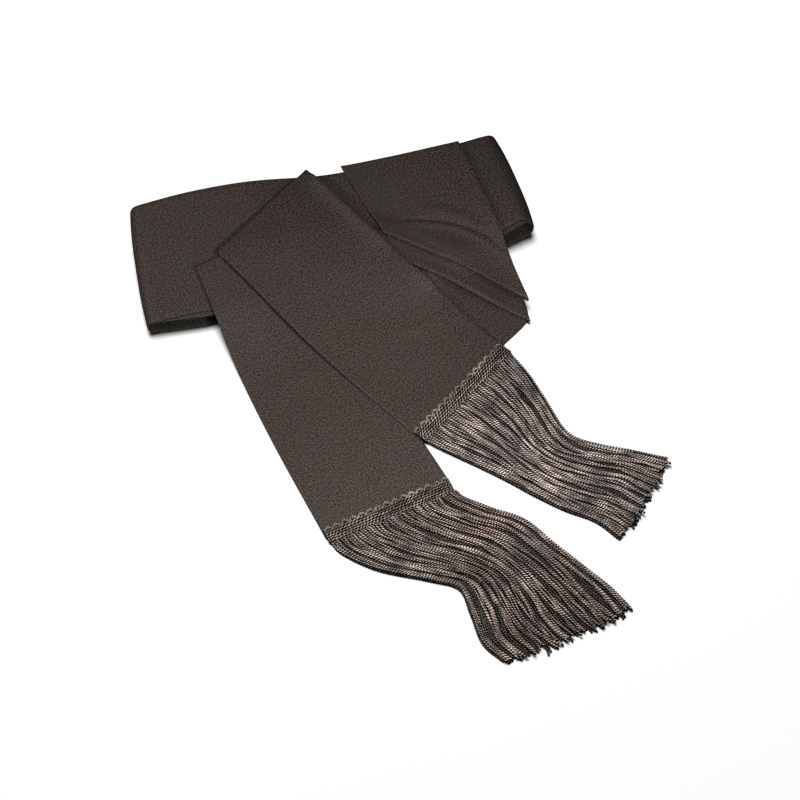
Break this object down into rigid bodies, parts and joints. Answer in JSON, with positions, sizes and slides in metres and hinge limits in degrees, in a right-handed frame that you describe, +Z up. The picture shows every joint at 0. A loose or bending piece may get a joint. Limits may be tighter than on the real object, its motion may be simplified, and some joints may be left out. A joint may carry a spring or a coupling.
{
  "type": "band cincture",
  "caption": "Wide dark cloth sash folded into a flat bundle, with both tails and their long twisted-cord fringes laid out in front.",
  "frame": {"origin": "middle of the bounding box on the table top the bundle lies on", "axes": "+Z up from the table, +Y to the back edge of the bundle, +X to the side the fringes lie on"},
  "size_m": [0.4704, 0.5054, 0.0344],
  "materials": {
    "band_cloth": "fine matt weave with a slight sheen",
    "fringe_cord": "glossy twisted rayon cord"
  },
  "bodies": {
    "root": {"waist_loop": "band_cloth", "inner_turns": "band_cloth", "wrap_over": "band_cloth", "pleat_mid": "band_cloth", "pleat_low": "band_cloth", "tail_lower": "band_cloth", "tail_upper": "band_cloth", "fringe_lower": "fringe_cord", "fringe_upper": "fringe_cord"}
  },
  "joints": []
}
